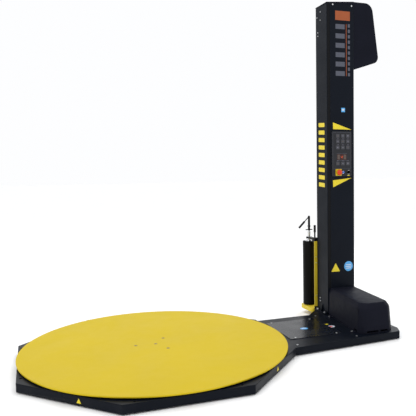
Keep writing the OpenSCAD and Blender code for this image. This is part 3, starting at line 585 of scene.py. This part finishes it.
def make_shroud():
    """The motor shroud as one moulding with soft shoulders, real slots and two foot tabs."""
    bm = bmesh.new()
    for z, outline in SHROUD_LAYERS:
        for x, y in outline:
            bm.verts.new((x * MM, y * MM, z * MM))
    bmesh.ops.convex_hull(bm, input=list(bm.verts))
    bmesh.ops.dissolve_limit(bm, angle_limit=math.radians(1.0), verts=bm.verts, edges=bm.edges)
    foot = (SHROUD_LAYERS[0][0] + 1.0) * MM
    soft = [e for e in bm.edges if max(v.co.z for v in e.verts) > foot
            and not all(v.co.y > SHROUD_BACK for v in e.verts)]
    bmesh.ops.bevel(bm, geom=soft, offset=SHROUD_ROUNDING, offset_type="OFFSET", segments=3,
                    profile=0.5, affect="EDGES", clamp_overlap=True)
    shroud = new_piece("shroud_moulding", bm, "base", FINISH["moulded_black"])
    slots = bmesh.new()
    for lo, hi in FOOT_SLOTS:
        add_box(slots, lo, hi)
    for k in range(VENT_COUNT):
        x, y = VENT_START[0] + VENT_LEAN * k, VENT_START[1] + VENT_PITCH * k
        add_box(slots, (x, y, VENT_Z[0]), (VENT_DEEP_X, y + VENT_LENGTH, VENT_Z[1]))
    cut(shroud, slots)
    foot_z, foot_outline = SHROUD_LAYERS[0]
    (far_x, far_y), (near_x, near_y) = foot_outline[4:]
    tabs = bmesh.new()
    for y in TAB_Y:
        side = near_x + (far_x - near_x) * (y - near_y) / (far_y - near_y)
        outline = [(u * MM, v * MM) for u, v in outline_round_box(*TAB_SIZE)]
        add_plate(tabs, outline, TAB_THICK * MM,
                  on_top((side - TAB_REACH) * MM, y * MM, foot_z * MM))
    piece = new_piece("shroud_tabs", tabs, "base", FINISH["moulded_black"])
    round_edges(piece, SMALL_ROUNDING)
    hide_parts("motor_shroud")


def grooved(radius, low, high, pitch, depth):
    """A lathe profile with shallow round grooves between two heights."""
    out = []
    count = max(1, int((high - low) / pitch))
    step = (high - low) / count
    for i in range(count):
        z = low + i * step
        out += [(radius - depth, z), (radius, z + 0.22 * step), (radius, z + 0.78 * step)]
    return out + [(radius - depth, high)]


def scaled(profile):
    """A profile in millimetres, turned into metres."""
    return [(r * MM, z * MM) for r, z in profile]


QUARTERS = [math.radians(45 + 90 * k) for k in range(4)]


def make_brake_roller():
    """A rubber-covered drum with soft ends, and the bright hub that shows at its top."""
    lo, hi = box_of("brake_roller")
    x, y, bottom, _ = axis_of("brake_roller")
    r, length = (hi.x - lo.x) / 2 / MM, (hi.z - lo.z) / MM
    place = on_top(x, y, bottom)
    bore = 10
    soft_end, bands = 9, 8
    bm = bmesh.new()
    add_lathe(bm, scaled([(bore, 0), (r - 7, 0), (r - 3.5, 1), (r - 1.2, 4), (r, soft_end)]
                         + [(r, soft_end + (length - 17) * k / bands) for k in range(1, bands + 1)]
                         + [(r - 0.8, length - 4.6), (r - 3, length - 3), (r - 12, length - 3),
                            (r - 14, length - 6), (bore, length - 6)]), place, 72)
    drum = new_piece("roller_drum", bm, "film_brake", FINISH["roller_rubber"])
    bm = bmesh.new()
    add_lathe(bm, scaled([(bore, length - 6), (30, length - 6), (30, length - 2),
                          (28.5, length - 0.6), (20, length - 0.6), (18, length + 4),
                          (16.5, length + 5), (bore, length + 5)]), place, 56)
    screw_circle = 0.024
    for a in QUARTERS:
        add_lathe(bm, scaled([(2.6, length - 1), (2.6, length + 1), (2, length + 1.6)]),
                  on_top(x + screw_circle * math.cos(a), y + screw_circle * math.sin(a), bottom),
                  16)
    new_piece("roller_hub", bm, "film_brake", FINISH["zinc_steel"])
    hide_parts("brake_roller")


def make_brake_spring():
    """The brake's bright spring cup on the shaft, with its flange and turned bands."""
    above_roller = 26.5
    x, y, _, roller_top = axis_of("brake_roller")
    bm = bmesh.new()
    add_lathe(bm, scaled([(8.5, 0), (13.5, 0), (14, 0.6), (14, 2.6), (12, 3.2), (11, 4)]
                         + grooved(11, 4.5, 33, 6.0, 0.5)
                         + [(11, 34), (12.4, 34.6), (12.4, 38), (11.4, 38.8), (8.5, 38.8)]),
              on_top(x, y, roller_top + above_roller * MM), 40)
    new_piece("brake_spring_cup", bm, "carriage", FINISH["machined_steel"])


def make_mandrel():
    """The film core's holder: a flanged tube with four driving ribs and a tapered nose."""
    x, y, bottom, top = axis_of("film_mandrel")
    length = (top - bottom) / MM
    place = on_top(x, y, bottom)
    bm = bmesh.new()
    add_lathe(bm, scaled([(10, 0), (60, 0), (62, 1.5), (62, 3.5), (60.5, 5), (36, 5), (32, 9),
                          (31, 14), (31, length - 32), (30, length - 28), (21, length - 3),
                          (19, length), (10, length)]), place, 64)
    rib = scaled([(30, 8), (35.5, 8), (35.5, length - 46), (29, length - 30)])
    rib_thick = 5
    half_rib = 0.0025
    for a in QUARTERS:
        add_plate(bm, rib, rib_thick * MM, place @ Matrix.Rotation(a, 4, "Z")
                  @ facing((1, 0, 0), (0, 0, 1), (0, half_rib, 0)))
    piece = new_piece("mandrel_core", bm, "mandrel", FINISH["black_plastic"])
    round_edges(piece, SMALL_ROUNDING)
    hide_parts("film_mandrel")


def make_lever():
    """The brake's lever: a clamped boss, a rod that leans down from it and a ribbed grip."""
    arm = 116.0
    below_top = 4.3
    x, y, _, _ = axis_of("brake_roller")
    top = box_of("brake_lever")[1].z
    tilt = Matrix.Rotation(math.radians(-135), 4, "Y")
    place = on_top(x, y, top - below_top * MM)
    bm = bmesh.new()
    add_lathe(bm, scaled([(4, -32), (4, -27), (6.4, -26.6), (6.4, -20), (4.6, -19.6), (4.6, -16),
                          (7, -15.6), (8, -14), (8, 2), (7, 4.2), (0, 4.2)]), place, 32)
    add_lathe(bm, scaled([(3.4, -2), (3.4, arm * 0.45), (2.4, arm * 0.46)]), place @ tilt, 24)
    rod = new_piece("lever_rod", bm, "lever", FINISH["arm_black"])
    low, high = arm * 0.43, arm - 4
    bm = bmesh.new()
    add_lathe(bm, scaled([(3.6, low), (6.2, low + 1)] + grooved(7.2, low + 3, high - 2, 5.0, 0.8)
                         + [(6.6, high), (5, high + 2.6), (0, high + 4)]), place @ tilt, 32)
    new_piece("lever_grip", bm, "lever", FINISH["black_plastic"])
    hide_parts("brake_lever")


def make_knob():
    """The clamp's knob: a threaded stem under a long fluted grip."""
    grip_length = 52
    flutes, sides_each = 10, 6
    mean_r, flute_depth = 7.4, 0.6
    x, y, low, high = axis_of("clamp_knob")
    place = on_top(x, y, low)
    top = (high - low) / MM
    bottom = top - grip_length
    n = flutes * sides_each
    angles = [2 * math.pi * i / n for i in range(n)]
    ring = [(mean_r + flute_depth * math.cos(flutes * a), a) for a in angles]
    layers = [(bottom, 0.86), (bottom + 1.5, 1.0), (top - 2.5, 1.0), (top - 1, 0.9), (top, 0.74)]
    bm = bmesh.new()
    rows = []
    for z, k in layers:
        spots = [(r * k * math.cos(a) * MM, r * k * math.sin(a) * MM, z * MM) for r, a in ring]
        rows.append([bm.verts.new(place @ Vector(spot)) for spot in spots])
    for lower, upper in zip(rows, rows[1:]):
        for i in range(n):
            j = (i + 1) % n
            bm.faces.new((lower[i], lower[j], upper[j], upper[i]))
    bm.faces.new(list(reversed(rows[0])))
    bm.faces.new(rows[-1])
    grip = new_piece("knob_grip", bm, "knob", FINISH["black_plastic"])
    bm = bmesh.new()
    add_lathe(bm, scaled([(4, 0.5), (4, 16.5)] + grooved(5.6, 17, bottom, 1.8, 0.4)), place, 24)
    new_piece("knob_stem", bm, "knob", FINISH["arm_black"])
    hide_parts("clamp_knob")


# ---- Printed marks, and one strip of painted shade ----

THIN = 0.0003  # metres: how thick a print is
LAYER = 0.3  # millimetres: how far a print on another print stands out


def mark(name, finish, face, level, outlines, thick=THIN):
    """Thin printed shapes on a face of the base, or a dark strip of painted shade; level and
    outlines are in millimetres.

    Outlines are in the CAD frame: x and z on a front face, y and z on a side, x and y on a top.
    """
    places = {"front": on_front(0, level * MM, 0), "side": on_side(level * MM, 0, 0),
              "top": on_top(0, 0, level * MM)}
    bm = bmesh.new()
    for outline in outlines:
        flat = [((-u if face == "side" else u) * MM, v * MM) for u, v in outline]
        if face == "side":
            flat.reverse()
        add_plate(bm, flat, thick, places[face])
    new_piece(name, bm, "base", FINISH[finish], smooth=False)


def rect(u0, v0, u1, v1):
    return [(u0, v0), (u1, v0), (u1, v1), (u0, v1)]


def disc_at(u, v, r, count=40, stretch=1.0):
    """A circle, or an oval whose second direction is stretched."""
    return [(u + x, v + y * stretch) for x, y in outline_disc(r, count)]


# Levels of the printed faces, in millimetres
SIDE = box_of("mast_column")[0].x / MM
CORNER = box_of("mast_column")[0].y / MM
FRONT = box_of("mast_front_cover")[0].y / MM
NECK_TOP = 50.0

# The yellow bars up the mast's side: their count, first height, pitch and slanted outline
BAR_COUNT, BAR_START, BAR_PITCH = 9, 920, 51
BAR_OUTLINE = [(274, 0), (354, 6), (354, 34), (274, 28)]

FLAT_REACH = 743.0  # from the turntable's axis to each face of the base
SKIRT_Z = 0.028  # metres: the height of the stickers on those faces
DIAGONAL = math.sqrt(0.5)
SKIRT_MARKS = [  # name, where the face looks, and how far along the face from its middle
    ("base_mark_1", (-DIAGONAL, -DIAGONAL), 72),
    ("base_mark_2", (DIAGONAL, -DIAGONAL), -12),
]


def make_marks():
    """Plain generic marks where the machine carries its graphics and stickers, and a dark strip of
    painted shade on the mast's corner.
    """
    bars = []
    for k in range(BAR_COUNT):
        z = BAR_START + BAR_PITCH * k
        bars.append(round_corners([(u, z + v) for u, v in BAR_OUTLINE], 6))
    mark("side_bars", "mark_yellow", "side", SIDE, bars)
    mark("upper_wedge", "mark_yellow", "front", FRONT, [[(1296, 1311), (1438, 1309), (1295, 1356)]])
    mark("lower_wedge", "mark_yellow", "front", FRONT, [[(1295, 920), (1438, 981), (1293, 967)]])
    mark("block", "mark_orange", "front", FRONT,
         [rect(1316, 2036, 1428, 2097), rect(1398, 1668, 1402, 2012)])
    mark("grey_bars", "mark_grey", "front", FRONT,
         [rect(1318, z, 1388, z + 32) for z in range(1668, 2000, 62)]
         + [rect(1412, z, 1428, z + 22) for z in range(1668, 2000, 36)])
    mark("small_label", "mark_blue", "front", FRONT,
         [round_corners(rect(1360, 1427, 1388, 1455), 2)])
    mark("small_label_line", "mark_pale", "front", FRONT - LAYER, [rect(1365, 1437, 1383, 1447)])
    triangle = round_corners([(1277, 342), (1345, 342), (1311, 401)], 5)
    mark("triangle", "mark_yellow", "front", FRONT, [triangle])
    mark("round_label", "mark_blue", "front", FRONT, [disc_at(1412, 373, 34)])
    mark("round_label_bands", "mark_pale", "front", FRONT - LAYER,
         [rect(1392, 381, 1432, 386), rect(1388, 369, 1436, 374), rect(1392, 357, 1432, 362)])
    cover = box_of("neck_cover")[1].z / MM
    mark("neck_oval", "mark_blue", "top", cover, [disc_at(936, -14, 25, 36, 0.8)])
    mark("neck_oval_line", "mark_pale", "top", cover + LAYER,
         [rect(918, -18, 950, -13), rect(926, -8, 952, -4)])
    mark("neck_tag", "mark_yellow", "top", NECK_TOP, [round_corners(rect(1078, 20, 1130, 33), 3)])
    mark("neck_label", "mark_pale", "top", NECK_TOP, [disc_at(1118, -29, 26, 36, 0.8)])
    mark("neck_label_core", "mark_red", "top", NECK_TOP + LAYER,
         [disc_at(1118, -29, 13, 30, 0.8)])
    for name, across, along in SKIRT_MARKS:
        own = (-across[1], across[0])
        at = [(FLAT_REACH * across[k] + along * own[k]) * MM for k in range(2)]
        bm = bmesh.new()
        outline = round_corners([(-13, -11), (13, -11), (0, 12)], 2)
        add_plate(bm, [(u * MM, v * MM) for u, v in outline], THIN,
                  facing((*own, 0), (0, 0, 1), (*at, SKIRT_Z)))
        new_piece(name, bm, "base", FINISH["mark_yellow"], smooth=False)
    # A dark strip of painted shade down the mast's corner beside the front cover. It stands in for
    # the shade of that recessed corner and is no real trim piece.
    mark("corner_painted_shade", "painted_shade_dark", "front", CORNER, [rect(1255.4, 232, 1275.4, 2140)],
         thick=0.0006)


SEGMENTS = {  # the bars of the two lit digits, as (u, v, horizontal)
    "a": (0, 1, True), "g": (0, 0.5, True), "d": (0, 0, True),
    "b": (1, 0.5, False), "e": (0, 0, False), "c": (1, 0, False)}
DIGITS = {"1": "bc", "2": "abged"}


def digit_bars(shape, u, v, w=8.0, h=14.0, t=1.7):
    """A digit's bars, t thick, in a box w by h whose lower left corner is at u, v."""
    gap = 0.7  # of t, between the ends of two bars
    out = []
    for key in DIGITS[shape]:
        x, y, flat = SEGMENTS[key]
        x0, y0 = u + x * (w - t), v + y * (h - t)
        if flat:
            out.append(rect(x0 + t * gap, y0, x0 + w - t * gap, y0 + t))
        else:
            out.append(rect(x0, y0 + t * gap, x0 + t, y0 + h / 2 + t * 0.3))
    return out


KEY_STEP, KEY_FIRST, HALF_KEY = 39, 30, 13
KEY_ROWS = (74, 182, 223, 260)  # the keys' lower edges, above the panel's
KEY_SIGN_UP = 12  # from a key's lower edge to its sign
SIGN_UP = [[(-5, -3.5), (5, -3.5), (0, 5)]]
SIGN_DOWN = [[(-5, 3.5), (0, -5), (5, 3.5)]]
SIGN_DASH = [rect(-5, -1, 5, 1)]
SIGN_CROSS = [rect(-5, -1, 5, 1), rect(-1, -5, 1, 5)]
KEY_SIGNS = [
    (SIGN_UP, SIGN_DASH, SIGN_DOWN),
    (SIGN_UP, SIGN_DASH, SIGN_DOWN),
    (SIGN_DASH, SIGN_UP, SIGN_CROSS),
    (SIGN_UP, SIGN_DASH, SIGN_DOWN),
]
KEY_LINES = (18, 17.5, 16.5)  # from the signs of the three lower rows to the line over them


def make_panel_details():
    """Plain symbols on the keys, a border line, two lit digits and the main switch's tag."""
    lo, hi = box_of("control_panel")
    x0, x1, z0, z1 = (v / MM for v in (lo.x, hi.x, lo.z, hi.z))
    face = lo.y / MM
    line, inset, above_switch = 1.2, 6, 50
    left, right = x0 + inset, x1 - inset
    low, high = z0 + above_switch, z1 - inset
    mark("panel_border", "mark_grey", "front", face,
         [rect(left, low, right, low + line), rect(left, high - line, right, high),
          rect(left, low + line, left + line, high - line),
          rect(right - line, low + line, right, high - line)])
    key_face = box_of("keypad")[0].y / MM
    columns = [x0 + KEY_FIRST + KEY_STEP * k + HALF_KEY for k in range(3)]
    rows = [z0 + z + KEY_SIGN_UP for z in KEY_ROWS]
    pale, warm = [], []
    for r, z in enumerate(rows):
        for k, x in enumerate(columns):
            target = warm if (r + k) % 3 == 0 else pale
            target += [[(x + u, z + v) for u, v in shape] for shape in KEY_SIGNS[r][k]]
    half_line, line_thick = 8, 1.6
    for x in columns:
        for row, up in zip(rows, KEY_LINES):
            z = row + up
            pale.append(rect(x - half_line, z, x + half_line, z + line_thick))
    mark("key_signs", "mark_key", "front", key_face, pale)
    mark("key_signs_warm", "mark_brown", "front", key_face, warm)
    w_lo, w_hi = box_of("display_window")
    glass = w_lo.y / MM
    wx, wz = (w_lo.x + w_hi.x) / 2 / MM, (w_lo.z + w_hi.z) / 2 / MM
    mark("window_mask", "mark_brown", "front", glass,
         [rect(wx - 33, wz - 16, wx - 15, wz + 16), rect(wx + 14, wz - 16, wx + 33, wz + 16)])
    mark("switch_tag", "mark_yellow", "front", face, [rect(x1 - 32, z0 + 2.5, x1 - 14, z0 + 7.5)])
    mark("digits", "lit_red", "front", glass,
         digit_bars("1", wx - 11, wz - 7) + digit_bars("2", wx, wz - 7))
    mark("display_frame", "mark_grey", "front", face,
         [rect(wx - 40, wz - 24, wx + 40, wz - 22.5), rect(wx - 40, wz + 22.5, wx + 40, wz + 24)])


# ---- Floor and light ----

FLOOR_REACH = 60.0
FLOOR_TONES = ((0.90, 0.90, 0.90), (0.92, 0.92, 0.92))
ROOM_COLOUR = (0.985, 0.99, 1.0, 1.0)


def make_stage():
    """A pale floor that runs far out."""
    bm = bmesh.new()
    bmesh.ops.create_grid(bm, x_segments=2, y_segments=2, size=FLOOR_REACH)
    floor = object_from("floor", bm)
    m = Maker("floor")
    m.base_colour(m.mix(m.spread(m.noise(1.5, 3.0), 0.0, 1.0), *FLOOR_TONES))
    m.shader.inputs["Roughness"].default_value = 0.85
    m.specular(0.2)
    floor.data.materials.append(m.mat)


def area_light(name, at, towards, size, power, colour=(1.0, 1.0, 1.0)):
    """A soft rectangular lamp that faces a point; size is in metres and power in watts."""
    data = bpy.data.lights.new(name, "AREA")
    data.shape = "RECTANGLE"
    data.size, data.size_y = size
    data.energy = power
    data.color = colour
    lamp = bpy.data.objects.new(name, data)
    lamp.location = at
    lamp.rotation_mode = "QUATERNION"
    lamp.rotation_quaternion = (Vector(towards) - Vector(at)).to_track_quat("-Z", "Y")
    bpy.context.scene.collection.objects.link(lamp)


def make_lights():
    """A soft white room of light, with a warm key, a top light, a weak sun and a cool rim."""
    world = bpy.data.worlds.new("room")
    world.use_nodes = True
    room = world.node_tree.nodes["Background"]
    room.inputs["Color"].default_value = ROOM_COLOUR
    room.inputs["Strength"].default_value = 1.0
    bpy.context.scene.world = world
    bpy.context.scene.view_settings.view_transform = "Standard"
    area_light("key", at=(-3.4, -2.6, 3.6), towards=(0.6, 0.1, 0.5), size=(2.6, 2.6),
               power=46.0, colour=(1.0, 0.985, 0.96))
    area_light("top", at=(0.6, 0.4, 4.6), towards=(0.5, 0.0, 0.0), size=(3.2, 3.2), power=40.0)
    fill = bpy.data.lights.new("fill", "SUN")
    fill.energy = 0.36
    fill.angle = math.radians(120)
    bpy.context.scene.collection.objects.link(bpy.data.objects.new("fill", fill))
    area_light("rim", at=(3.6, 2.2, 2.6), towards=(1.3, 0.2, 0.8), size=(1.6, 2.4),
               power=30.0, colour=(0.92, 0.96, 1.0))


make_camera()
make_stage()
make_lights()
dress_cad_nodes()
make_shroud()
make_brake_roller()
make_brake_spring()
make_mandrel()
make_lever()
make_knob()
make_marks()
make_panel_details()
